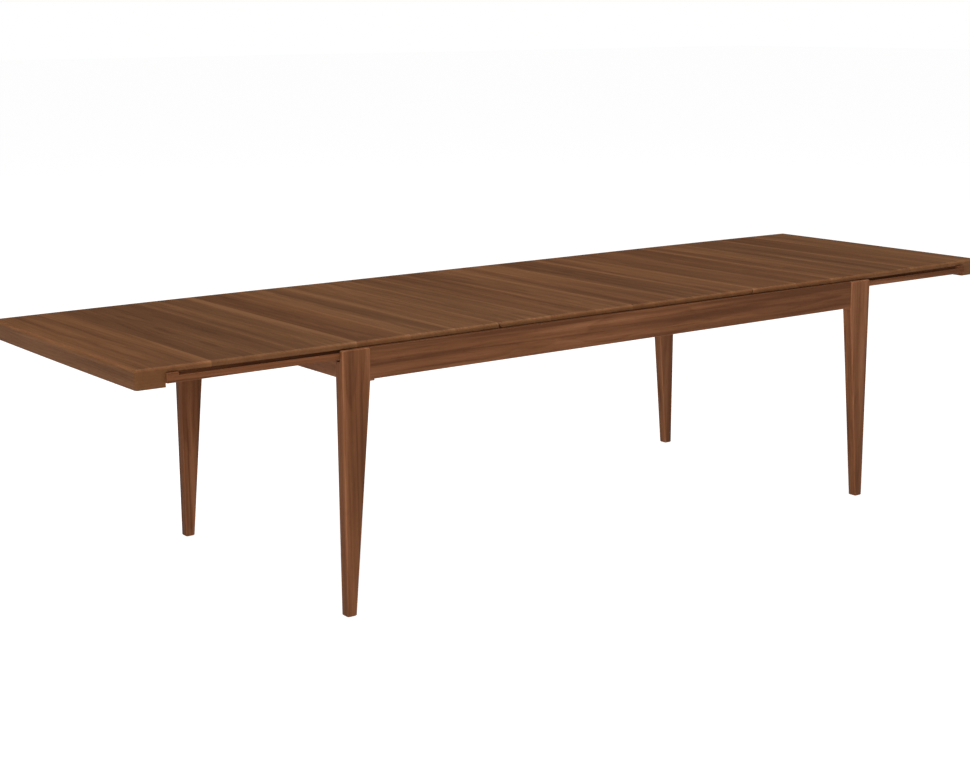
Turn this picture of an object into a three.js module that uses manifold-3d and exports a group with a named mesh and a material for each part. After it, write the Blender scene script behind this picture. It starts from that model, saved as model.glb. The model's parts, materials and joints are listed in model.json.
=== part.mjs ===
// Extendable dining table, drawn fully extended. A fixed frame on four tapered legs carries a top that
// is split across its middle: each half slides outward on its own pair of runners, and two loose leaves
// fill the gap. Millimetres, +Z up. The origin is on the floor under the middle of the table, +X runs
// along its length, and -Y is the front.

import * as THREE from 'three';
import { mergeVertices } from 'three/addons/utils/BufferGeometryUtils.js';
import Module from 'manifold-3d';

const wasm = await Module();
wasm.setup();

// ---------------------------------------------------------------- driving dimensions

const HEIGHT = 750;               // floor to the upper surface
const FRAME_LENGTH = 2036;        // over the outer faces of the legs
const FRAME_WIDTH = 976;          // over the outer faces of the legs, a little more than the top
const LEAF_LENGTH = 495;          // one leaf, along X; each half slides by this much
const END_RETURN = 83;            // how far the closed top reaches past the legs
const SEAM = 0.6;                 // open joint between two neighbouring pieces of the top

const BOARD_THICKNESS = 16;
const END_THICKNESS = 53;         // the thick end of the top, board included
const ARRIS_RADIUS = 8;           // rounding of the upper edge of the top
const END_BOW = 2.5;              // the ends of the top bulge outward this much at their middle
const WIDEST = 476;               // half width of the top where its bowed sides are widest
const WIDEST_AT = 850;            // distance of that place from the middle of the extended table
const SIDE_BOW = 2.6;             // the side has fallen in this much at SIDE_BOW_RUN from the widest place
const SIDE_BOW_RUN = 350;
const LEAF_LIFT_RATIO = 2;        // a leaf rises this much for each millimetre that its half slides in

const LEG_TOP_WIDTH = 88;         // along X, at the lower edge of the aprons
const LEG_TOP_DEPTH = 37;         // along Y, at the lower edge of the aprons
const LEG_FOOT_WIDTH = 30;
const LEG_FOOT_DEPTH = 32;
const LEG_CORNER = 4.5;           // rounding of the leg's long edges
const LEG_TOP_ROUND = 4;          // and of its top edge, which stands in front of the board's edge
const TONGUE = 12;                // what is left of the leg outside the runner's passage
const HAUNCH_LENGTH = 13;         // small ear of the leg under the apron
const HAUNCH_HEIGHT = 4;
const HAUNCH_THICKNESS = 15;

const APRON_BOTTOM = 646;
const APRON_THICKNESS = 18;
const APRON_SETBACK = 3;          // apron face behind the leg face
const END_RAIL_SETBACK = 30;      // end rail face behind the end face of the legs
const END_RAIL_THICKNESS = 20;
const TOP_CLEARANCE = 1.5;        // between the frame and the sliding top

const RUNNER_HEIGHT = 26;
const RUNNER_WIDTH = 38;
const GROOVE_DEPTH = 14;          // groove in the outer side of a runner, for the guide strip
const GROOVE_HEIGHT = 8.5;
const GROOVE_STOP = 33;           // the groove ends this far from the end bar
const RUNNING_GAP = 0.8;          // clearance above and below the guide strip
const SIDE_GAP = 1;               // clearance beside a runner
const CLOSED_GAP = 0.6;           // between the end bar and the legs when the table is closed
const PASSAGE_GAP = 7;            // clearance under a runner where it passes through a leg

const GLIDE_PROUD = 1.5;          // how far a foot glide stands out of the foot
const GLIDE_RADIUS = 9;
const GLIDE_HEIGHT = 6;
const BOLT_RADIUS = 4;
const FIT_GAP = 0.3;              // between pieces that are fitted to each other
const OVERCUT = 5;                // a cutter reaches this far past the surface that it opens
const ROUND_SEGMENTS = 24;        // of a glide, and of its bore in the foot
const BOLT_SEGMENTS = 16;

// ---------------------------------------------------------------- places worked out from them

const LEG_X = FRAME_LENGTH / 2;
const LEG_Y = FRAME_WIDTH / 2;
const TRAVEL = LEAF_LENGTH;
const HALF_OUTER = LEG_X + END_RETURN + TRAVEL;
const HALF_INNER = LEAF_LENGTH + SEAM / 2;
const BOARD_BOTTOM = HEIGHT - BOARD_THICKNESS;
const END_BOTTOM = HEIGHT - END_THICKNESS;
const END_BAR_INNER = LEG_X + TRAVEL + CLOSED_GAP;
const LEG_TOP = BOARD_BOTTOM - TOP_CLEARANCE;
const APRON_OUTER = LEG_Y - APRON_SETBACK;
const APRON_INNER = APRON_OUTER - APRON_THICKNESS;
const FOOT_X = LEG_X - LEG_FOOT_WIDTH / 2;
const FOOT_Y = LEG_Y - LEG_FOOT_DEPTH / 2;
const LEG_INNER_X = LEG_X - LEG_TOP_WIDTH;
const LEG_INNER_Y = LEG_Y - LEG_TOP_DEPTH;
const PASSAGE_OUTER = LEG_Y - TONGUE;
const RUNNER_OUTER = PASSAGE_OUTER - SIDE_GAP;
const RUNNER_INNER = RUNNER_OUTER - RUNNER_WIDTH;
const RUNNER_BOTTOM = BOARD_BOTTOM - RUNNER_HEIGHT;
const GROOVE_BOTTOM = BOARD_BOTTOM - GROOVE_HEIGHT;
const NOTCH_BOTTOM = RUNNER_BOTTOM - PASSAGE_GAP;
const END_RAIL_OUTER = LEG_X - END_RAIL_SETBACK;
const END_RAIL_INNER = END_RAIL_OUTER - END_RAIL_THICKNESS;
const END_RAIL_TOP = NOTCH_BOTTOM - 1;
const BLOCK_TOP = END_RAIL_TOP - 6;

// ---------------------------------------------------------------- materials

const finish = (color, roughness, metalness = 0) => () =>
  new THREE.MeshStandardMaterial({ color, roughness, metalness });
const WALNUT_TOP = finish(0x714c30, 0.45);
const WALNUT_FRAME = finish(0x744a32, 0.5);
const HARDWOOD = finish(0x9c7a54, 0.6);
const STEEL = finish(0x9a9c9e, 0.35, 1);
const NYLON = finish(0x2b2724, 0.6);

// ---------------------------------------------------------------- geometry helpers

const table = new THREE.Group();

function place(name, geometry, material, parent = table) {
  const mesh = new THREE.Mesh(geometry, material());
  mesh.name = name;
  parent.add(mesh);
}

function box(x0, x1, y0, y1, z0, z1) {
  const geometry = new THREE.BoxGeometry(Math.abs(x1 - x0), Math.abs(y1 - y0), Math.abs(z1 - z0));
  return geometry.translate((x0 + x1) / 2, (y0 + y1) / 2, (z0 + z1) / 2);
}

// A closed solid through rings of points that all have the same count and run anticlockwise seen from
// above. The first ring is the lowest. Both ends are closed with a triangulated face.
function loft(rings) {
  const count = rings[0].length;
  const positions = rings.flat().flatMap((p) => [p.x, p.y, p.z]);
  const index = [];
  for (let r = 0; r < rings.length - 1; r += 1) {
    for (let i = 0; i < count; i += 1) {
      const a = r * count + i;
      const b = r * count + ((i + 1) % count);
      index.push(a, b, b + count, a, b + count, a + count);
    }
  }
  const flat = (ring) => ring.map((p) => new THREE.Vector2(p.x, p.y));
  const last = (rings.length - 1) * count;
  for (const [a, b, c] of THREE.ShapeUtils.triangulateShape(flat(rings[0]), [])) index.push(a, c, b);
  for (const [a, b, c] of THREE.ShapeUtils.triangulateShape(flat(rings.at(-1)), [])) {
    index.push(last + a, last + b, last + c);
  }
  const geometry = new THREE.BufferGeometry();
  geometry.setAttribute('position', new THREE.Float32BufferAttribute(positions, 3));
  geometry.setIndex(index);
  return geometry;
}

function toSolid(geometry) {
  const bare = geometry.clone();
  bare.deleteAttribute('normal');
  bare.deleteAttribute('uv');
  const merged = mergeVertices(bare, 1e-4);
  const vertProperties = new Float32Array(merged.getAttribute('position').array);
  const triVerts = new Uint32Array(merged.getIndex().array);
  return new wasm.Manifold(new wasm.Mesh({ numProp: 3, vertProperties, triVerts }));
}

function toGeometry(solid) {
  const mesh = solid.getMesh();
  const geometry = new THREE.BufferGeometry();
  geometry.setAttribute('position', new THREE.BufferAttribute(mesh.vertProperties, 3));
  geometry.setIndex(new THREE.BufferAttribute(mesh.triVerts, 1));
  return geometry;
}

const join = (a, ...others) =>
  toGeometry(others.reduce((sum, other) => sum.add(toSolid(other)), toSolid(a)));
const cut = (a, ...others) =>
  toGeometry(others.reduce((rest, other) => rest.subtract(toSolid(other)), toSolid(a)));

// The same geometry in another quarter of the table. Mirroring turns faces inside out, so an odd
// number of mirrored axes also reverses each triangle.
function mirrored(geometry, sideX, sideY) {
  const copy = geometry.clone();
  copy.scale(sideX, sideY, 1);
  if (sideX * sideY < 0) {
    const index = copy.getIndex();
    for (let i = 0; i < index.count; i += 3) {
      const second = index.getX(i + 1);
      index.setX(i + 1, index.getX(i + 2));
      index.setX(i + 2, second);
    }
  }
  copy.deleteAttribute('normal');
  return copy;
}

// A rectangle between two opposite corners with rounded corners, as a ring at one height.
function roundedRing(x0, x1, y0, y1, radius, z) {
  const STEPS = 3;
  const corners = [[x1, y1, 0], [x0, y1, 1], [x0, y0, 2], [x1, y0, 3]];
  return corners.flatMap(([x, y, quarter]) => {
    const cx = x - Math.sign(x - (x0 + x1) / 2) * radius;
    const cy = y - Math.sign(y - (y0 + y1) / 2) * radius;
    return Array.from({ length: STEPS + 1 }, (_, i) => {
      const angle = (quarter + i / STEPS) * (Math.PI / 2);
      return new THREE.Vector3(cx + radius * Math.cos(angle), cy + radius * Math.sin(angle), z);
    });
  });
}

// ---------------------------------------------------------------- the top

const sideAt = (x) => WIDEST - SIDE_BOW * ((x - WIDEST_AT) / SIDE_BOW_RUN) ** 2;

// Outline of the right half of the top between x0 and its outer end, drawn in by inset on the bowed
// sides and on the end but not on the straight edge at x0.
function halfOutline(x0, inset, z) {
  const SIDE_STEPS = 14;
  const END_STEPS = 6;
  const corner = sideAt(HALF_OUTER) - inset;
  const ring = [];
  for (let i = 0; i <= SIDE_STEPS; i += 1) {
    const x = THREE.MathUtils.lerp(x0, HALF_OUTER - END_BOW - inset, i / SIDE_STEPS);
    ring.push(new THREE.Vector3(x, -(sideAt(x) - inset), z));
  }
  for (let i = 1; i < END_STEPS; i += 1) {
    const y = THREE.MathUtils.lerp(-corner, corner, i / END_STEPS);
    ring.push(new THREE.Vector3(HALF_OUTER - inset - END_BOW * (y / corner) ** 2, y, z));
  }
  const near = ring.slice(0, SIDE_STEPS + 1).reverse();
  return ring.concat(near.map((p) => new THREE.Vector3(p.x, -p.y, z)));
}

// Heights and insets that round the upper edge of the top.
const arris = [0, 30, 60, 90].map((degrees) => {
  const angle = THREE.MathUtils.degToRad(degrees);
  return {
    z: HEIGHT - ARRIS_RADIUS * (1 - Math.sin(angle)),
    inset: ARRIS_RADIUS * (1 - Math.cos(angle)),
  };
});

function topBoard() {
  const levels = [{ z: BOARD_BOTTOM, inset: 0 }, ...arris];
  return loft(levels.map(({ z, inset }) => halfOutline(HALF_INNER, inset, z)));
}

// The thick end: a full-width bar glued under the outer end of the board, flush with its edges.
function endBar() {
  const LOWER_EDGE = 2;
  const levels = [
    { z: END_BOTTOM, inset: LOWER_EDGE },
    { z: END_BOTTOM + LOWER_EDGE, inset: 0 },
    { z: BOARD_BOTTOM, inset: 0 },
  ];
  return loft(levels.map(({ z, inset }) => halfOutline(END_BAR_INNER, inset, z)));
}

// A runner has a groove along its outer side, which rides on the frame's guide strip. Its lip hooks
// under the strip, so that the overhanging half can't tip.
function runner(side) {
  const SEAM_SETBACK = 2;
  const bar = box(HALF_INNER + SEAM_SETBACK, END_BAR_INNER, side * RUNNER_INNER, side * RUNNER_OUTER,
    RUNNER_BOTTOM, BOARD_BOTTOM);
  const groove = box(HALF_INNER, END_BAR_INNER - GROOVE_STOP, side * (RUNNER_OUTER - GROOVE_DEPTH),
    side * (RUNNER_OUTER + OVERCUT), GROOVE_BOTTOM, BOARD_BOTTOM + OVERCUT);
  return cut(bar, groove);
}

// A flat bar along X with sloped ends.
function batten(x0, x1, y, width, height) {
  const slope = height * BATTEN_SLOPE;
  const outline = new THREE.Shape([
    new THREE.Vector2(x0, BOARD_BOTTOM),
    new THREE.Vector2(x0, BOARD_BOTTOM - height + slope),
    new THREE.Vector2(x0 + slope, BOARD_BOTTOM - height),
    new THREE.Vector2(x1 - slope, BOARD_BOTTOM - height),
    new THREE.Vector2(x1, BOARD_BOTTOM - height + slope),
    new THREE.Vector2(x1, BOARD_BOTTOM),
  ]);
  const geometry = new THREE.ExtrudeGeometry(outline, { depth: width, bevelEnabled: false });
  return geometry.rotateX(Math.PI / 2).translate(0, y + width / 2, 0);
}

const BATTEN_Y = 150;
const BATTEN_WIDTH = 30;
const BATTEN_HEIGHT = 22;
const BATTEN_SLOPE = 0.6;           // an end slopes back this much for each millimetre of height
const BATTEN_END_CLEARANCE = 8;
const BATTEN_SEAM_CLEARANCE = 65;   // a batten stays this far from a seam, for the neighbour's plates
const PLATE_Y = [-300, 120];        // the other half's plates are at the opposite places
const PLATE_WIDTH = 60;
const PLATE_THICKNESS = 9;
const PLATE_HOLD = 60;              // length of a plate under its own half
const PLATE_REACH = 40;             // and past the seam, under the leaf
const STOP_Y = 320;
const STOP_LENGTH = 32;
const STOP_WIDTH = 40;
const STOP_GAP = 1;
const STOP_OVERLAP = 5;             // how far a stop reaches below the top of the end rail

function topHalf(side) {
  const group = new THREE.Group();
  place(`top_board_${side}`, topBoard(), WALNUT_TOP, group);
  place(`end_bar_${side}`, endBar(), WALNUT_TOP, group);
  const rows = side === 'right' ? { front: -1, rear: 1 } : { front: 1, rear: -1 };
  for (const [row, sign] of Object.entries(rows)) {
    place(`runner_${side}_${row}`, runner(sign), WALNUT_FRAME, group);
    const ends = [HALF_INNER + BATTEN_SEAM_CLEARANCE, END_BAR_INNER - BATTEN_END_CLEARANCE];
    const strut = batten(...ends, sign * BATTEN_Y, BATTEN_WIDTH, BATTEN_HEIGHT);
    place(`top_batten_${side}_${row}`, strut, HARDWOOD, group);
    const plateY = PLATE_Y.find((y) => Math.sign(y) === sign);
    const plate = box(HALF_INNER - PLATE_REACH, HALF_INNER + PLATE_HOLD, plateY - PLATE_WIDTH / 2,
      plateY + PLATE_WIDTH / 2, BOARD_BOTTOM - FIT_GAP - PLATE_THICKNESS, BOARD_BOTTOM - FIT_GAP);
    place(`leaf_plate_${side}_${row}`, plate, HARDWOOD, group);
    const stopOuter = END_RAIL_INNER - STOP_GAP;
    const stop = box(stopOuter - STOP_LENGTH, stopOuter, sign * STOP_Y - STOP_WIDTH / 2,
      sign * STOP_Y + STOP_WIDTH / 2, END_RAIL_TOP - STOP_OVERLAP, BOARD_BOTTOM);
    place(`stop_block_${side}_${row}`, stop, HARDWOOD, group);
  }
  group.rotation.z = side === 'right' ? 0 : Math.PI;
  table.add(group);
}

topHalf('left');
topHalf('right');

// A leaf's outer edge leans back under the leaf. The half beside it slides in while the leaf rises
// LEAF_LIFT_RATIO times as far, so at each height the edge has room for the half's square edge.
function leafBoard(side) {
  const outer = LEAF_LENGTH - SEAM / 2;
  const inner = SEAM / 2;
  const half = sideAt(LEAF_LENGTH);
  const levels = [{ z: BOARD_BOTTOM, inset: 0 }, ...arris];
  return loft(levels.map(({ z, inset }) => {
    const far = side * (outer - (HEIGHT - z) / LEAF_LIFT_RATIO);
    const near = side * inner;
    const [x0, x1] = side > 0 ? [near, far] : [far, near];
    const y = half - inset;
    return [[x0, -y], [x1, -y], [x1, y], [x0, y]].map(([px, py]) => new THREE.Vector3(px, py, z));
  }));
}

const LEAF_BATTEN_Y = 210;
const LEAF_BATTEN_HEIGHT = 20;
for (const [side, sign] of [['left', -1], ['right', 1]]) {
  place(`leaf_board_${side}`, leafBoard(sign), WALNUT_TOP);
  for (const [row, rowSign] of [['front', -1], ['rear', 1]]) {
    const ends = [sign * BATTEN_SEAM_CLEARANCE, sign * (LEAF_LENGTH - BATTEN_SEAM_CLEARANCE)];
    ends.sort((a, b) => a - b);
    const strut = batten(...ends, rowSign * LEAF_BATTEN_Y, BATTEN_WIDTH, LEAF_BATTEN_HEIGHT);
    place(`leaf_batten_${side}_${row}`, strut, HARDWOOD);
  }
}

// ---------------------------------------------------------------- the legs and what is in their corners

const HOLE_Z = 678;
const BOLT_REACH = 28;              // how far the bolt goes into the leg
const BLOCK_SPAN = 64;              // the corner block's diagonal covers this much of each rail
const BLOCK_THICKNESS = 24;
const BLOCK_RAISE = 6;              // above the lower edge of the apron
const HOLE_SPARE = 1;               // the hole in the leg is deeper than the bolt reaches

// A straight round bar along the corner's diagonal, between two distances from the leg's inner corner.
function diagonalBar(radius, from, to, segments) {
  const bar = new THREE.CylinderGeometry(radius, radius, to - from, segments);
  bar.translate(0, (from + to) / 2, 0).rotateZ(-Math.PI / 4);
  return bar.translate(LEG_INNER_X, LEG_INNER_Y, HOLE_Z);
}

// The leg of the right rear corner: outer faces upright, inner faces tapered up to the apron, then
// straight. The upper inner part is cut away where the runner passes.
function leg() {
  const section = (z, width, depth, inset) =>
    roundedRing(LEG_X - width + inset, LEG_X - inset, LEG_Y - depth + inset, LEG_Y - inset,
      LEG_CORNER, z);
  const FOOT_EDGE = 2;
  const topRound = [0, 30, 60, 90].map((degrees) => {
    const angle = THREE.MathUtils.degToRad(degrees);
    return section(LEG_TOP - LEG_TOP_ROUND * (1 - Math.sin(angle)), LEG_TOP_WIDTH, LEG_TOP_DEPTH,
      LEG_TOP_ROUND * (1 - Math.cos(angle)));
  });
  const body = loft([
    section(GLIDE_PROUD, LEG_FOOT_WIDTH, LEG_FOOT_DEPTH, FOOT_EDGE),
    section(GLIDE_PROUD + FOOT_EDGE, LEG_FOOT_WIDTH, LEG_FOOT_DEPTH, 0),
    section(APRON_BOTTOM, LEG_TOP_WIDTH, LEG_TOP_DEPTH, 0),
    ...topRound,
  ]);
  const notch = box(LEG_INNER_X - OVERCUT, LEG_X + OVERCUT, LEG_INNER_Y - OVERCUT, PASSAGE_OUTER,
    NOTCH_BOTTOM, HEIGHT);
  const bore = new THREE.CylinderGeometry(GLIDE_RADIUS + FIT_GAP, GLIDE_RADIUS + FIT_GAP,
    GLIDE_HEIGHT + FIT_GAP + OVERCUT, ROUND_SEGMENTS);
  bore.rotateX(Math.PI / 2);
  bore.translate(FOOT_X, FOOT_Y, (GLIDE_HEIGHT + FIT_GAP - OVERCUT) / 2);
  const hole = diagonalBar(BOLT_RADIUS + FIT_GAP, -OVERCUT, BOLT_REACH + HOLE_SPARE, BOLT_SEGMENTS);
  return cut(join(body, haunch()), notch, bore, hole);
}

// The ear under the apron, with its lower end corner taken off. Its root lies inside the leg.
function haunch() {
  const ROOT = 3;
  const CORNER = 1.2;
  const top = APRON_BOTTOM - FIT_GAP;
  const bottom = APRON_BOTTOM - HAUNCH_HEIGHT;
  const end = LEG_INNER_X - HAUNCH_LENGTH;
  const outline = new THREE.Shape([
    new THREE.Vector2(LEG_INNER_X + ROOT, bottom),
    new THREE.Vector2(LEG_INNER_X + ROOT, top),
    new THREE.Vector2(end, top),
    new THREE.Vector2(end, bottom + CORNER),
    new THREE.Vector2(end + CORNER, bottom),
  ]);
  const geometry = new THREE.ExtrudeGeometry(outline, { depth: HAUNCH_THICKNESS, bevelEnabled: false });
  return geometry.rotateX(Math.PI / 2).translate(0, APRON_OUTER, 0);
}

function glide() {
  const CHAMFER = 1;
  const profile = [[0, 0], [GLIDE_RADIUS - CHAMFER, 0], [GLIDE_RADIUS, CHAMFER],
    [GLIDE_RADIUS, GLIDE_HEIGHT], [0, GLIDE_HEIGHT]];
  const lathe = new THREE.LatheGeometry(profile.map(([r, h]) => new THREE.Vector2(r, h)), ROUND_SEGMENTS);
  lathe.rotateX(Math.PI / 2);
  return lathe.translate(FOOT_X, FOOT_Y, 0);
}

// A diagonal block glued into the corner between the apron and the end rail.
function cornerBlock() {
  const railX = END_RAIL_INNER - FIT_GAP;
  const apronY = APRON_INNER - FIT_GAP;
  const step = BLOCK_THICKNESS * Math.SQRT2;
  const ring = (z) => [
    [railX, apronY - BLOCK_SPAN],
    [railX - BLOCK_SPAN, apronY],
    [railX - BLOCK_SPAN - step, apronY],
    [railX, apronY - BLOCK_SPAN - step],
  ].map(([x, y]) => new THREE.Vector3(x, y, z));
  const hole = diagonalBar(BOLT_RADIUS + FIT_GAP, -BLOCK_SPAN - BLOCK_THICKNESS, OVERCUT, BOLT_SEGMENTS);
  return cut(loft([ring(APRON_BOTTOM + BLOCK_RAISE), ring(BLOCK_TOP)]), hole);
}

// A bolt with a hexagonal head, from the inner face of the corner block into the leg.
function legBolt() {
  const HEAD_RADIUS = 7.5;
  const HEAD_HEIGHT = 5.5;
  const blockSum = END_RAIL_INNER + APRON_INNER - 2 * FIT_GAP - BLOCK_SPAN;
  const blockFace = (blockSum - LEG_INNER_X - LEG_INNER_Y) / Math.SQRT2 - BLOCK_THICKNESS;
  const headEnd = blockFace - FIT_GAP;
  const head = diagonalBar(HEAD_RADIUS, headEnd - HEAD_HEIGHT, headEnd, 6);
  return join(head, diagonalBar(BOLT_RADIUS, headEnd - 1, BOLT_REACH, BOLT_SEGMENTS));
}

for (const [side, sideX] of [['left', -1], ['right', 1]]) {
  for (const [row, sideY] of [['front', -1], ['rear', 1]]) {
    const corner = `${side}_${row}`;
    place(`leg_${corner}`, mirrored(leg(), sideX, sideY), WALNUT_FRAME);
    place(`foot_glide_${corner}`, mirrored(glide(), sideX, sideY), NYLON);
    place(`corner_block_${corner}`, mirrored(cornerBlock(), sideX, sideY), HARDWOOD);
    place(`leg_bolt_${corner}`, mirrored(legBolt(), sideX, sideY), STEEL);
  }
}

// ---------------------------------------------------------------- rails between the legs

// An apron is thinner above NOTCH_BOTTOM, where the runners pass inside it.
const STRIP_SETBACK = 39;           // clears the end of the groove when the table is closed
const apronEnd = LEG_INNER_X - FIT_GAP;
const stripEnd = LEG_X - STRIP_SETBACK;
const stripInner = RUNNER_OUTER - GROOVE_DEPTH + SIDE_GAP;
for (const [row, sign] of [['front', -1], ['rear', 1]]) {
  const board = box(-apronEnd, apronEnd, sign * APRON_INNER, sign * APRON_OUTER,
    APRON_BOTTOM, LEG_TOP);
  const passage = box(-LEG_X, LEG_X, sign * (APRON_INNER - OVERCUT), sign * PASSAGE_OUTER,
    NOTCH_BOTTOM, LEG_TOP + OVERCUT);
  place(`side_apron_${row}`, cut(board, passage), WALNUT_FRAME);
  const strip = box(-stripEnd, stripEnd, sign * stripInner, sign * (PASSAGE_OUTER - FIT_GAP),
    GROOVE_BOTTOM + RUNNING_GAP, BOARD_BOTTOM - RUNNING_GAP);
  place(`guide_strip_${row}`, strip, WALNUT_FRAME);
}

const railEnd = LEG_INNER_Y - FIT_GAP;
const BEAM_X = 330;
const BEAM_WIDTH = 45;
const BEAM_RAISE = 8;
const BEAM_STOP_GAP = 4;
const BEAM_TOP = END_RAIL_TOP - STOP_OVERLAP - BEAM_STOP_GAP;
for (const [side, sign] of [['left', -1], ['right', 1]]) {
  const rail = box(sign * END_RAIL_INNER, sign * END_RAIL_OUTER, -railEnd, railEnd,
    APRON_BOTTOM, END_RAIL_TOP);
  place(`end_rail_${side}`, rail, WALNUT_FRAME);
  const beam = box(sign * (BEAM_X - BEAM_WIDTH / 2), sign * (BEAM_X + BEAM_WIDTH / 2),
    -(APRON_INNER - FIT_GAP), APRON_INNER - FIT_GAP, APRON_BOTTOM + BEAM_RAISE, BEAM_TOP);
  place(`cross_beam_${side}`, beam, HARDWOOD);
}

export default table;
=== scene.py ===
import json
import math
import random

import bmesh
import bpy
import numpy as np
from mathutils import Matrix, Vector


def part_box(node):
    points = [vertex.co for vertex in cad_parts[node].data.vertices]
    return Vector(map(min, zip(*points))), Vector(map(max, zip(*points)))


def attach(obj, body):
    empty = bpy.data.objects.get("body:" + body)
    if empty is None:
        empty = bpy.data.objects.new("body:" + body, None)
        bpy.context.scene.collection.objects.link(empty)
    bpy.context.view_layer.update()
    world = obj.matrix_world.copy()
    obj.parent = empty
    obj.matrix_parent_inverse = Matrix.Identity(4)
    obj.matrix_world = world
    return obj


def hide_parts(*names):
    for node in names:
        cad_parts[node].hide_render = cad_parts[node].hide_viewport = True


# The extendable dining table in walnut, pulled out with both leaves in. Metres, +Z up, -Y is the front.

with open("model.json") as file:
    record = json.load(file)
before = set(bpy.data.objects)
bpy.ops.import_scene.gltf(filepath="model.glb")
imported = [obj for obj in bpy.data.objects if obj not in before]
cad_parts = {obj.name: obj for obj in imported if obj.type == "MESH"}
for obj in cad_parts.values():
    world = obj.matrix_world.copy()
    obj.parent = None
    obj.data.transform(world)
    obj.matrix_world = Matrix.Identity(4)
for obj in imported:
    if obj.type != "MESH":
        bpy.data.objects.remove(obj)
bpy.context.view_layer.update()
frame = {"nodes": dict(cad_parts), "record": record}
MM = 0.001

# ---------------------------------------------------------------- places taken from the frame

SIDES = {"left": -1, "right": 1}
BODY_OF = {node: body for body, nodes in frame["record"]["behaviour"]["bodies"].items() for node in nodes}
SLOT_OF = {row["node"]: row["material_slot"] for row in frame["record"]["subparts"]}

board_low, board_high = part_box("top_board_right")
leaf_low, leaf_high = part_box("leaf_board_right")
bar_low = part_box("end_bar_right")[0]
HEIGHT = board_high.z
BOARD_BOTTOM = board_low.z
END_BAR_INNER = bar_low.x
END_BOW = 2.5 * MM                # the end's middle reaches this far past its corners
ARRIS = 8 * MM                    # rounding of the upper edges
LOWER_ARRIS = 2.5 * MM            # rounding of a board's lower edges
BAR_ARRIS = 2 * MM                # rounding of an end bar's lower edges
PLAN_CORNER = 9 * MM              # rounding of the outer corners in plan
END_STATION = board_high.x - END_BOW - PLAN_CORNER    # where the side meets the rounded corner
LEAF_UNDERCUT = 0.5               # slope of a leaf's outer edge, sideways per unit of depth
SEAM_EASE = 0.3 * MM              # tiny rounding beside an open seam
STAVE_GROOVE = 0.15 * MM          # depth of the groove at a stave joint
STAVE_GROOVE_HALF = 0.5 * MM      # half its width

ARRIS_STEPS = 6                   # rings in each rounding
LOWER_ARRIS_STEPS = 3
BAR_ARRIS_STEPS = 4
CORNER_STEPS = 4                  # points round a corner in plan
END_STEPS = 12                    # and along the bowed end
BAR_SPANS = 4                     # stretches along the sides of an end bar
STATION_SPACING = 45 * MM         # between stations along the sides, about
TOLERANCE = 0.1 * MM              # heights and places closer than this count as the same

NARROW = 4 * MM                   # a face narrower than this belongs to a rounded edge
SMOOTH_ANGLE = math.radians(32)   # creases sharper than this stay sharp
EASED_ANGLE = math.radians(35)    # edges of a CAD solid sharper than this are eased
FLAT_ANGLE = math.radians(0.5)    # faces that differ less than this are joined
WELD = 0.02 * MM                  # corners closer than this are joined

PITH_SIDE = 30 * MM               # how far sideways of a board its pith can lie
PITH_DEPTH = 90 * MM              # and about how far under it
LOG_LENGTH = 40                   # boards are cut up to this many metres apart along the figure


def side_profile():
    """Half width of the top along X, read off the rear edge of the right board's underside."""
    rear_edge = 0.9 * board_high.y
    widest = {}
    for vertex in frame["nodes"]["top_board_right"].data.vertices:
        x, y, z = vertex.co
        if z < BOARD_BOTTOM + TOLERANCE and y > rear_edge:
            key = round(x, 5)
            widest[key] = max(widest.get(key, 0), y)
    xs = sorted(x for x in widest if x <= board_high.x - END_BOW + TOLERANCE)
    return xs, [widest[x] for x in xs]


PROFILE_X, PROFILE_Y = side_profile()


def side_at(x):
    """Half width of the top at a distance x from the middle of the table."""
    return float(np.interp(abs(x), PROFILE_X, PROFILE_Y))


# ---------------------------------------------------------------- meshes

def add_piece(node, mesh):
    """Puts a finished mesh in the scene as the looks of one CAD node."""
    mesh.shade_smooth()
    mesh.set_sharp_from_angle(angle=SMOOTH_ANGLE)
    mesh.materials.append(MATERIALS[SLOT_OF[node]])
    piece = bpy.data.objects.new(mesh.name, mesh)
    bpy.context.scene.collection.objects.link(piece)
    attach(piece, BODY_OF[node])
    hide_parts(node)
    weighted = piece.modifiers.new("Weighted normals", "WEIGHTED_NORMAL")
    weighted.keep_sharp = True


def arc_levels(z, radius, steps, upward):
    """(height, inset) pairs of a quarter round that ends, or begins, at height z."""
    levels = []
    for i in range(steps + 1):
        angle = math.radians(90 * i / steps)
        drop = radius * (1 - math.sin(angle))
        inset = radius * (1 - math.cos(angle))
        levels.append((z - drop, inset) if upward else (z + drop, inset))
    return levels if upward else levels[::-1]


def mirrored(half, end=()):
    """A closed ring: half of it, what lies between the halves, and the half again on the other side."""
    return [*half, *end, *((x, -y, z) for x, y, z in reversed(half))]


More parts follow.
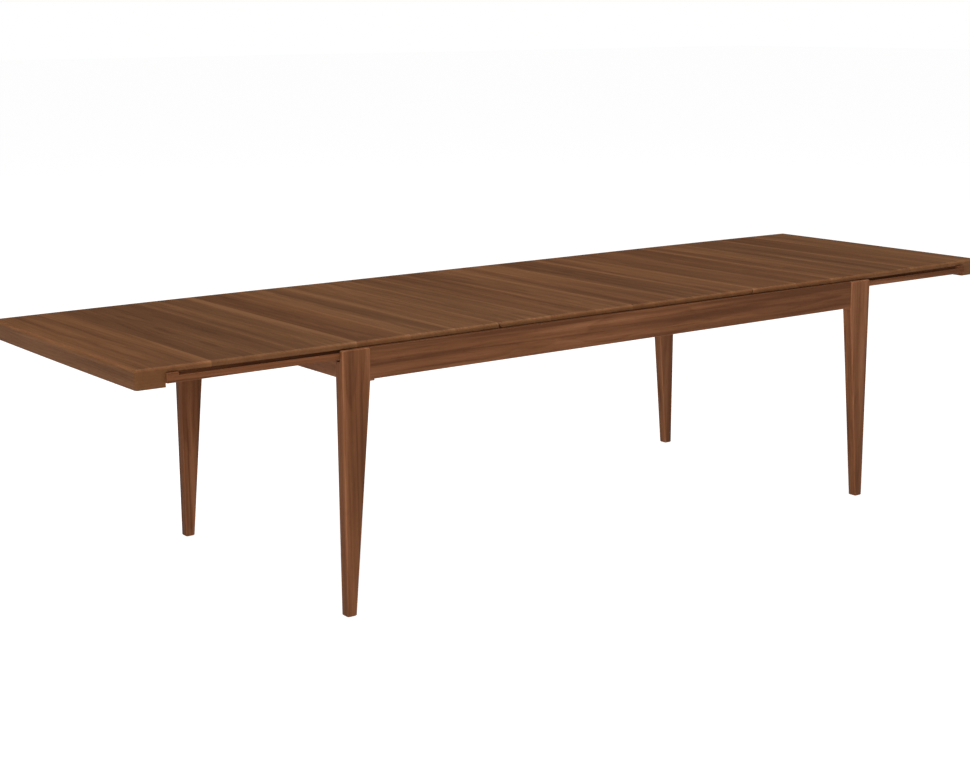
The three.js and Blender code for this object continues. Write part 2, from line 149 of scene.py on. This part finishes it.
class Slab:
    """A flat board of the top, lofted through horizontal rings. It is laid out on the right of the
    table: a ring runs outwards along the front side, round the outer end if there is one, and back
    along the rear side."""

    def __init__(self, levels, stations, joints=(), has_end=False, arris_steps=0,
                 low_ease=lambda x: 1.0, shift=lambda x, z: 0.0):
        self.levels = levels              # (height, inset) of each ring, from the lowest up
        self.stations = stations          # places along X, from the middle of the table outwards
        self.joints = set(joints)         # stations where two staves meet
        self.has_end = has_end
        self.arris_steps = arris_steps    # how many rings at the top make the rounded upper edge
        self.low_ease = low_ease          # share of the lower rounding that a station gets
        self.shift = shift                # how far a station is moved along X at a height

    def eased(self, inset, x, z):
        """The inset that a station gets at a height."""
        return inset if z > HEIGHT - ARRIS else inset * self.low_ease(x)

    def ring(self, level):
        """The points of one ring, in order."""
        z, inset = self.levels[level]
        is_top = level == len(self.levels) - 1
        side = []
        for x in self.stations:
            drop = STAVE_GROOVE if is_top and x in self.joints else 0
            side.append((x + self.shift(x, z), -(side_at(x) - self.eased(inset, x, z)), z - drop))
        if not self.has_end:
            return mirrored(side)
        x_last = self.stations[-1]
        y_last = side_at(x_last) - PLAN_CORNER
        eased = self.eased(inset, x_last, z)
        reach = PLAN_CORNER - eased
        corner = []
        for i in range(1, CORNER_STEPS + 1):
            angle = math.radians(90 * i / CORNER_STEPS)
            corner.append((x_last + reach * math.sin(angle), -(y_last + reach * math.cos(angle)), z))
        end = []
        for i in range(1, END_STEPS):
            y = y_last * (2 * i / END_STEPS - 1)
            end.append((x_last + PLAN_CORNER - eased + END_BOW * (1 - (y / y_last) ** 2), y, z))
        return mirrored(side + corner, end)

    def mesh(self, name, turn):
        """The finished board. Turn is 1 on the right of the table; -1 turns it round to the left."""
        rings = [self.ring(level) for level in range(len(self.levels))]
        size = len(rings[0])
        top = len(rings) - 1
        vertices = [(turn * x, turn * y, z) for ring in rings for x, y, z in ring]
        faces = []
        for k in range(top):
            for i in range(size):
                a = k * size + i
                b = k * size + (i + 1) % size
                faces.append((a, b, b + size, a + size))
        count = len(self.stations)
        caps = [(i, i + 1, size - 2 - i, size - 1 - i) for i in range(count - 1)]
        if self.has_end:
            caps.append(tuple(range(count - 1, size - count + 1)))
        faces += [cap[::-1] for cap in caps]
        faces += [tuple(top * size + i for i in cap) for cap in caps]
        mesh = bpy.data.meshes.new(name)
        mesh.from_pydata(vertices, [], faces)
        mesh.validate()
        first = top - self.arris_steps
        # how far into the rounded upper edge each ring lies; the wood paints this band lighter, partly as
        # wear and partly as a painted highlight
        wear_and_highlight = [math.sin(math.pi * max(0, k - first) / max(1, self.arris_steps)) for k in range(top + 1)]
        set_edges(mesh, "Y", [wear_and_highlight[v.index // size] for v in mesh.vertices])
        return mesh


def stave_stations(x0, x1, joints):
    """X stations from x0 to x1, with three at each stave joint."""
    spans = max(2, round((x1 - x0) / STATION_SPACING))
    marks = {x0, x1}
    marks.update(x0 + (x1 - x0) * i / spans for i in range(1, spans))
    clear = 4 * STAVE_GROOVE_HALF
    marks = {m for m in marks if all(abs(m - joint) > clear for joint in joints)}
    for joint in joints:
        marks.update((joint - STAVE_GROOVE_HALF, joint, joint + STAVE_GROOVE_HALF))
    return sorted(marks)


def rounded_edges(mesh):
    """How far into a rounded edge each vertex lies: 1 where it only touches narrow faces, otherwise 0."""
    broad = set()
    for face in mesh.polygons:
        corners = [mesh.vertices[i].co for i in face.vertices]
        around = sum((a - b).length for a, b in zip(corners, corners[1:] + corners[:1]))
        if 2 * face.area / around > NARROW:
            broad.update(face.vertices)
    return [0.0 if v.index in broad else 1.0 for v in mesh.vertices]


def set_edges(mesh, along, wear_and_highlight):
    """Writes edge = (wear and highlight, end grain, 0) on the mesh. The first is how far into a rounded
    edge a vertex lies, which the wood paints lighter, partly as wear and partly as a painted highlight. End
    grain is 1 where the surface faces along the fibres."""
    axis = "XYZ".index(along)
    edge = np.zeros((len(mesh.loops), 3), np.float32)
    for face in mesh.polygons:
        for loop in face.loop_indices:
            edge[loop] = (wear_and_highlight[mesh.loops[loop].vertex_index], face.normal[axis] ** 2, 0)
    attribute = mesh.attributes.new("edge", "FLOAT_VECTOR", "CORNER")
    attribute.data.foreach_set("vector", edge.ravel())


def draw_stave(draw):
    """Where in a log one stave was cut, and its own tint. The figure depends on the order of the draws."""
    return {
        "pith": (draw.uniform(-1, 1) * PITH_SIDE, draw.uniform(0.4, 1.3) * PITH_DEPTH),
        "shift": draw.uniform(0, LOG_LENGTH),
        "tone": draw.uniform(-1, 1),
        "red": draw.uniform(-1, 1),
        "flip": draw.choice((-1, 1)),
    }


def set_grain(mesh, name, along, across, joints=()):
    """Writes the wood's own coordinates on the mesh: grain = (across, along, depth) from the pith, in
    metres, and stave = (tone, redness, place across the stave). Staves are divided at joints along X."""
    i_along = "XYZ".index(along)
    i_across = "XYZ".index(across)
    i_depth = 3 - i_along - i_across
    draw = random.Random(name)
    staves = [draw_stave(draw) for _ in range(len(joints) + 1)]
    co = np.array([v.co for v in mesh.vertices])
    low, high = co.min(0), co.max(0)
    middle = (low + high) / 2
    edges = sorted(joints)
    inner, outer = sorted((abs(low[0]), abs(high[0])))
    limits = [inner, *edges, outer]
    grain = np.zeros((len(mesh.loops), 3), np.float32)
    stave = np.zeros((len(mesh.loops), 3), np.float32)
    for face in mesh.polygons:
        index = int(np.searchsorted(edges, abs(face.center.x)))
        x_low, x_high = limits[index], limits[index + 1]
        own = staves[index]
        for loop in face.loop_indices:
            p = co[mesh.loops[loop].vertex_index]
            if joints:
                side = abs(p[0]) - (x_low + x_high) / 2
                place = side / (x_high - x_low) + 0.5
            else:
                side = p[i_across] - middle[i_across]
                place = 0.5
            depth = p[i_depth] - middle[i_depth]
            grain[loop] = (own["flip"] * side - own["pith"][0], p[i_along] + own["shift"],
                           depth + own["pith"][1])
            stave[loop] = (own["tone"], own["red"], place)
    for attribute_name, values in (("grain", grain), ("stave", stave)):
        attribute = mesh.attributes.new(attribute_name, "FLOAT_VECTOR", "CORNER")
        attribute.data.foreach_set("vector", values.ravel())


# ---------------------------------------------------------------- materials

MIX_A, MIX_B, MIX_RESULT = 6, 7, 2    # a Mix node's colour sockets, which share names with the others


class Graph:
    """Shorthand for building a material's nodes. A value is a number, a colour or a node's output."""

    def __init__(self, name):
        self.material = bpy.data.materials.new(name)
        self.material.use_nodes = True
        self.tree = self.material.node_tree
        self.tree.nodes.clear()
        self.shader = self.node("ShaderNodeBsdfPrincipled")
        out = self.node("ShaderNodeOutputMaterial")
        self.link(self.shader.outputs["BSDF"], out.inputs["Surface"])

    def node(self, kind, **settings):
        node = self.tree.nodes.new(kind)
        for key, value in settings.items():
            setattr(node, key, value)
        return node

    def link(self, source, target):
        self.tree.links.new(source, target)

    def put(self, value, socket):
        if isinstance(value, bpy.types.NodeSocket):
            self.link(value, socket)
        else:
            socket.default_value = value

    def attribute(self, name):
        return self.node("ShaderNodeAttribute", attribute_name=name).outputs["Vector"]

    def math(self, operation, a, b=0.0, clamp=False):
        node = self.node("ShaderNodeMath", operation=operation, use_clamp=clamp)
        self.put(a, node.inputs[0])
        self.put(b, node.inputs[1])
        return node.outputs[0]

    def add(self, *values):
        total = values[0]
        for value in values[1:]:
            total = self.math("ADD", total, value)
        return total

    def times(self, a, b):
        return self.math("MULTIPLY", a, b)

    def swing(self, value, amount):
        """A value that lies around 0.5, brought to lie around 0 and weighted."""
        return self.times(self.math("SUBTRACT", value, 0.5), amount)

    def scaled(self, vector, factors):
        node = self.node("ShaderNodeVectorMath", operation="MULTIPLY")
        self.put(vector, node.inputs[0])
        node.inputs[1].default_value = factors
        return node.outputs[0]

    def split(self, vector):
        node = self.node("ShaderNodeSeparateXYZ")
        self.put(vector, node.inputs[0])
        return node.outputs

    def noise(self, vector, scale=1.0, detail=2.0, roughness=0.5, distortion=0.0):
        node = self.node("ShaderNodeTexNoise")
        self.link(vector, node.inputs["Vector"])
        for key, value in (("Scale", scale), ("Detail", detail), ("Roughness", roughness),
                           ("Distortion", distortion)):
            node.inputs[key].default_value = value
        return node.outputs["Fac"]

    def figure(self, grain, across, along, **settings):
        """Noise drawn out along the fibres. The two numbers are its scales, per metre."""
        return self.noise(self.scaled(grain, (across, along, across)), **settings)

    def remap(self, value, low, high, to_low=0.0, to_high=1.0):
        node = self.node("ShaderNodeMapRange")
        self.put(value, node.inputs["Value"])
        for key, number in (("From Min", low), ("From Max", high), ("To Min", to_low), ("To Max", to_high)):
            node.inputs[key].default_value = number
        return node.outputs["Result"]

    def ramp(self, value, stops):
        """Colour from a value: stops are (place, colour), from 0 to 1."""
        node = self.node("ShaderNodeValToRGB")
        self.put(value, node.inputs["Fac"])
        elements = node.color_ramp.elements
        while len(elements) < len(stops):
            elements.new(0.5)
        for element, (position, colour) in zip(elements, stops):
            element.position = position
            element.color = (*colour, 1)
        return node.outputs["Color"]

    def mix(self, factor, a, b, blend="MIX"):
        node = self.node("ShaderNodeMix", data_type="RGBA", blend_type=blend)
        self.put(factor, node.inputs[0])
        self.put(a, node.inputs[MIX_A])
        self.put(b, node.inputs[MIX_B])
        return node.outputs[MIX_RESULT]

    def tinted(self, colour, tint):
        return self.mix(1.0, colour, (*tint, 1), blend="MULTIPLY")

    def bump(self, height, distance, strength):
        """Relief in the surface: distance is how deep it is, in metres."""
        node = self.node("ShaderNodeBump")
        node.inputs["Distance"].default_value = distance
        node.inputs["Strength"].default_value = strength
        self.link(height, node.inputs["Height"])
        self.link(node.outputs["Normal"], self.shader.inputs["Normal"])

    def finish(self, colour, roughness, **constants):
        self.put(colour, self.shader.inputs["Base Color"])
        self.put(roughness, self.shader.inputs["Roughness"])
        for key, value in constants.items():
            self.shader.inputs[key.replace("_", " ")].default_value = value
        return self.material


def walnut(name, dark, middle, light, streak):
    """Oiled walnut, cut from solid: growth rings round a pith beside the board, broad dark and light
    streaks along the grain, a lighter streak beside a stave joint, fine fibres, and short open pores.
    Rounded edges are worn smoother and painted lighter, partly as wear and partly as a painted highlight,
    and end grain shows less of the figure."""
    g = Graph(name)
    grain = g.attribute("grain")
    stave_tone, stave_red, stave_place = g.split(g.attribute("stave"))
    wear_and_highlight, end_grain, _ = g.split(g.attribute("edge"))
    across, _, depth = g.split(grain)

    # growth rings: each one darkens outwards and ends sharply, and slow and quick sways bend them
    rings_per_metre = 120
    wander = g.figure(grain, across=5, along=1.1, detail=3)
    sway = g.figure(grain, across=22, along=3.5, detail=2)
    radius = g.math("SQRT", g.add(g.times(across, across), g.times(depth, depth)))
    ring_place = g.add(g.times(radius, rings_per_metre), g.add(g.times(wander, 7.5), g.times(sway, 1.2)))
    saw = g.math("FRACT", ring_place)
    rings = g.times(g.math("POWER", saw, 2.2), g.remap(saw, 0.9, 1.0, 1, 0))

    # figure, from broad streaks down to pores
    bands = g.figure(grain, across=26, along=0.9, detail=3, roughness=0.55, distortion=0.25)
    drift = g.figure(grain, across=9, along=0.7, detail=2)
    thin_streaks = g.remap(g.figure(grain, across=70, along=1.1, detail=2, distortion=0.3), 0.6, 0.72)
    flecks = g.figure(grain, across=170, along=6, detail=2, roughness=0.6)
    fibre = g.figure(grain, across=620, along=9, detail=3, roughness=0.6)
    pores = g.remap(g.figure(grain, across=1500, along=32, detail=1), 0.63, 0.70)
    # a lighter streak at the inner edge of a stave
    sapwood = g.times(g.remap(stave_place, 0.0, 0.13, 1, 0), g.remap(drift, 0.4, 0.55, 0.1, 0.55))

    # lighter above 0, darker below it
    tone = g.add(
        g.swing(bands, 1.7 * streak),
        g.swing(drift, 1.2 * streak),
        g.swing(fibre, 0.35),
        g.swing(flecks, 0.5),
        g.times(rings, -0.26),
        g.times(thin_streaks, -0.3 * streak),
        g.times(stave_tone, 0.12),
        sapwood)
    tone = g.times(tone, g.remap(end_grain, 0.0, 1.0, 1.0, 0.35))
    tone = g.math("ADD", tone, 0.56, clamp=True)
    colour = g.ramp(tone, [(0.05, dark), (0.5, middle), (0.95, light)])
    colour = g.mix(g.remap(stave_red, -1, 1, 0, 0.6), colour, g.tinted(colour, (1.07, 0.97, 0.9)))
    pore_colour = (*[0.3 * c for c in dark], 1)
    colour = g.mix(g.times(pores, 0.35), colour, pore_colour)
    # rounded edges painted lighter: partly real wear, partly a painted highlight for the light the arris
    # catches
    colour = g.mix(g.times(wear_and_highlight, 0.8), colour, g.tinted(colour, (1.45, 1.45, 1.5)))

    roughness = g.add(g.remap(bands, 0.3, 0.7, 0.60, 0.68), g.times(pores, 0.2), g.times(wear_and_highlight, -0.1))
    relief = g.math("SUBTRACT", g.times(fibre, 0.3), pores)
    g.bump(relief, distance=0.08 * MM, strength=0.6)
    return g.finish(colour, roughness, Specular_IOR_Level=0.08)


def hardwood(name):
    """Plain sanded wood of the parts that don't show from above."""
    g = Graph(name)
    grain = g.attribute("grain")
    bands = g.figure(grain, across=40, along=1.5, detail=3)
    fibre = g.figure(grain, across=700, along=12, detail=3, roughness=0.6)
    tone = g.add(g.times(bands, 0.7), g.times(fibre, 0.3))
    colour = g.ramp(tone, [(0.3, (0.2, 0.115, 0.055)), (0.7, (0.36, 0.23, 0.125))])
    g.bump(fibre, distance=0.06 * MM, strength=0.5)
    return g.finish(colour, g.remap(bands, 0.3, 0.7, 0.55, 0.68), Specular_IOR_Level=0.25)


def zinc(name):
    """Zinc plate, with slightly darker and rougher blotches."""
    g = Graph(name)
    position = g.node("ShaderNodeTexCoord").outputs["Object"]
    blotch = g.noise(position, scale=420, detail=3)
    colour = g.ramp(blotch, [(0.3, (0.5, 0.5, 0.48)), (0.7, (0.66, 0.66, 0.65))])
    g.bump(blotch, distance=0.02 * MM, strength=0.4)
    return g.finish(colour, g.remap(blotch, 0.3, 0.7, 0.28, 0.42), Metallic=1.0)


def nylon(name):
    """Dark moulded plastic with a finely speckled skin."""
    g = Graph(name)
    position = g.node("ShaderNodeTexCoord").outputs["Object"]
    speckle = g.noise(position, scale=1600, detail=2)
    colour = g.ramp(speckle, [(0.35, (0.016, 0.014, 0.012)), (0.7, (0.03, 0.027, 0.024))])
    g.bump(speckle, distance=0.03 * MM, strength=0.5)
    return g.finish(colour, g.remap(speckle, 0.3, 0.7, 0.5, 0.65), Specular_IOR_Level=0.3)


MATERIALS = {
    "walnut_top": walnut(
        "Walnut top", dark=(0.083, 0.033, 0.012), middle=(0.130, 0.055, 0.021),
        light=(0.190, 0.086, 0.035), streak=0.75),
    "walnut_frame": walnut(
        "Walnut frame", dark=(0.094, 0.034, 0.013), middle=(0.150, 0.057, 0.023),
        light=(0.215, 0.090, 0.040), streak=1.4),
    "hardwood": hardwood("Plain hardwood"),
    "steel": zinc("Zinc plate"),
    "nylon": nylon("Nylon"),
}


# ---------------------------------------------------------------- the top

# Places of the stave joints, as distances along X from the middle of the table.
HALF_STAVES = {
    "left": [0.645, 0.793, 0.963, 1.150, 1.388],
    "right": [0.680, 0.844, 1.030, 1.235, 1.398],
}
LEAF_STAVES = {"left": [0.142, 0.310], "right": [0.172, 0.345]}
BOARD_LEVELS = [
    *arc_levels(BOARD_BOTTOM, LOWER_ARRIS, LOWER_ARRIS_STEPS, upward=False),
    *arc_levels(HEIGHT, ARRIS, ARRIS_STEPS, upward=True),
]


def seam_ease(z):
    """How far the upper face stops short of an open seam."""
    return SEAM_EASE if z > HEIGHT - TOLERANCE else 0.0


def add_board(node, slab, turn):
    """A slab of the top as wood whose fibres run across the table."""
    mesh = slab.mesh(node + "_wood", turn)
    set_grain(mesh, node, along="Y", across="X", joints=slab.joints)
    add_piece(node, mesh)


def make_half_board(side, turn):
    """The board of one sliding half, from its seam to the outer end."""
    x0 = board_low.x
    joints = HALF_STAVES[side]
    stations = stave_stations(x0, END_STATION, joints) + [END_BAR_INNER - LOWER_ARRIS, END_BAR_INNER]
    slab = Slab(
        BOARD_LEVELS, sorted(stations), joints, has_end=True, arris_steps=ARRIS_STEPS,
        # over the end bar the board's lower edge is square, so that the two meet flush
        low_ease=lambda x: 1.0 if x < END_BAR_INNER - TOLERANCE else 0.0,
        shift=lambda x, z: seam_ease(z) if x == x0 else 0.0)
    add_board(f"top_board_{side}", slab, turn)


def make_leaf_board(side, turn):
    """The board of one loose leaf, whose outer edge leans back towards its underside."""
    x0 = leaf_low.x
    x1 = leaf_high.x

    def shift(x, z):
        if x == x0:
            return seam_ease(z)
        if x == x1:
            return -(HEIGHT - z) * LEAF_UNDERCUT - seam_ease(z)
        return 0.0

    joints = LEAF_STAVES[side]
    slab = Slab(BOARD_LEVELS, stave_stations(x0, x1, joints), joints, arris_steps=ARRIS_STEPS, shift=shift)
    add_board(f"leaf_board_{side}", slab, turn)


def make_end_bar(side, turn):
    """The bar under the outer end, flush with the board's edges."""
    span = (END_STATION - END_BAR_INNER) / BAR_SPANS
    stations = [END_BAR_INNER + span * i for i in range(BAR_SPANS + 1)]
    levels = arc_levels(bar_low.z, BAR_ARRIS, BAR_ARRIS_STEPS, upward=False) + [(BOARD_BOTTOM, 0.0)]
    add_board(f"end_bar_{side}", Slab(levels, stations, has_end=True), turn)


for side, turn in SIDES.items():
    make_half_board(side, turn)
    make_leaf_board(side, turn)
    make_end_bar(side, turn)


# ---------------------------------------------------------------- pieces eased from the CAD solids

def add_eased(node, radius, segments, along, across):
    """The CAD solid with its sharp edges rounded by a small radius."""
    bm = bmesh.new()
    bm.from_mesh(frame["nodes"][node].data)
    bmesh.ops.remove_doubles(bm, verts=bm.verts, dist=WELD)
    bmesh.ops.dissolve_limit(bm, angle_limit=FLAT_ANGLE, verts=bm.verts, edges=bm.edges)
    edges = [e for e in bm.edges if len(e.link_faces) == 2 and e.calc_face_angle(0) > EASED_ANGLE]
    bmesh.ops.bevel(bm, geom=edges, offset=radius, offset_type="OFFSET", segments=segments,
                    profile=0.5, affect="EDGES", clamp_overlap=True)
    bmesh.ops.recalc_face_normals(bm, faces=bm.faces)
    mesh = bpy.data.meshes.new(node + "_eased")
    bm.to_mesh(mesh)
    bm.free()
    set_grain(mesh, node, along, across)
    set_edges(mesh, along, rounded_edges(mesh))
    add_piece(node, mesh)


# Start of the name: (radius, segments, direction of the grain, direction across it). The first that fits
# a name is used, so the bolts come before the legs.
EASING = {
    "leg_bolt": (0.3 * MM, 2, "Z", "X"),
    "leg_": (0.8 * MM, 3, "Z", "X"),
    "side_apron": (1.5 * MM, 4, "X", "Z"),
    "end_rail": (1.5 * MM, 4, "Y", "Z"),
    "runner": (0.8 * MM, 3, "X", "Y"),
    "guide_strip": (0.5 * MM, 2, "X", "Y"),
    "cross_beam": (1.5 * MM, 3, "Y", "X"),
    "corner_block": (1 * MM, 2, "Z", "X"),
    "top_batten": (1.2 * MM, 3, "X", "Y"),
    "leaf_batten": (1.2 * MM, 3, "X", "Y"),
    "leaf_plate": (1 * MM, 3, "X", "Y"),
    "stop_block": (1 * MM, 3, "Y", "X"),
    "foot_glide": (0.3 * MM, 2, "Z", "X"),
}
for node in sorted(frame["nodes"]):
    for start, easing in EASING.items():
        if node.startswith(start):
            add_eased(node, *easing)
            break


# ---------------------------------------------------------------- floor, light and camera

FLOOR_REACH = 60


def add_floor():
    """Ground that glows almost white by itself, so that no horizon shows."""
    corners = [(x * FLOOR_REACH, y * FLOOR_REACH, 0) for x, y in ((-1, -1), (1, -1), (1, 1), (-1, 1))]
    mesh = bpy.data.meshes.new("floor")
    mesh.from_pydata(corners, [], [(0, 1, 2, 3)])
    floor = bpy.data.objects.new("floor", mesh)
    bpy.context.scene.collection.objects.link(floor)
    mesh.materials.append(Graph("Pale floor").finish(
        (0.35, 0.35, 0.35, 1), 1.0, Specular_IOR_Level=0.0,
        Emission_Color=(1, 1, 1, 1), Emission_Strength=0.95))


def add_world():
    """White where the camera sees it, and only a faint light on the table."""
    world = bpy.data.worlds.new("Studio")
    bpy.context.scene.world = world
    world.use_nodes = True
    tree = world.node_tree
    tree.nodes.clear()
    out = tree.nodes.new("ShaderNodeOutputWorld")
    mix = tree.nodes.new("ShaderNodeMixShader")
    path = tree.nodes.new("ShaderNodeLightPath")
    tree.links.new(path.outputs["Is Camera Ray"], mix.inputs[0])
    for place, strength in ((1, 0.1), (2, 1.0)):
        background = tree.nodes.new("ShaderNodeBackground")
        background.inputs["Color"].default_value = (1, 1, 1, 1)
        background.inputs["Strength"].default_value = strength
        tree.links.new(background.outputs[0], mix.inputs[place])
    tree.links.new(mix.outputs[0], out.inputs["Surface"])


def add_softbox(name, place, aim, width, length, radiance):
    """A rectangular lamp at a place, facing the aim, equally bright whatever its size."""
    light = bpy.data.lights.new(name, "AREA")
    light.shape = "RECTANGLE"
    light.size = width
    light.size_y = length
    light.energy = radiance * math.pi * width * length
    lamp = bpy.data.objects.new(name, light)
    bpy.context.scene.collection.objects.link(lamp)
    lamp.location = place
    lamp.rotation_euler = (Vector(aim) - Vector(place)).to_track_quat("-Z", "Y").to_euler()


def add_camera():
    """Camera at the front left, above table height. Angles are in radians, lens and sensor in mm."""
    data = bpy.data.cameras.new("Camera")
    data.sensor_width = 36
    data.lens = 65.063876
    place = (-3.38521, -4.32034, 1.58903)
    yaw = 0.63601
    pitch = 0.21188
    roll = -0.00516
    camera = bpy.data.objects.new("Camera", data)
    camera.matrix_world = (
        Matrix.Translation(place) @ Matrix.Rotation(-yaw, 4, "Z")
        @ Matrix.Rotation(math.pi / 2 - pitch, 4, "X") @ Matrix.Rotation(roll, 4, "Z"))
    bpy.context.scene.collection.objects.link(camera)
    bpy.context.scene.camera = camera


add_floor()
add_world()
add_softbox("Overhead", place=(0.3, -0.5, 5.5), aim=(0.3, -0.4, 0), width=9, length=7, radiance=1.95)
add_softbox("Key", place=(-8.3, -7.8, 4.5), aim=(0, 0, 0.5), width=8, length=5, radiance=4.7)
add_camera()
bpy.context.scene.view_settings.view_transform = "Standard"
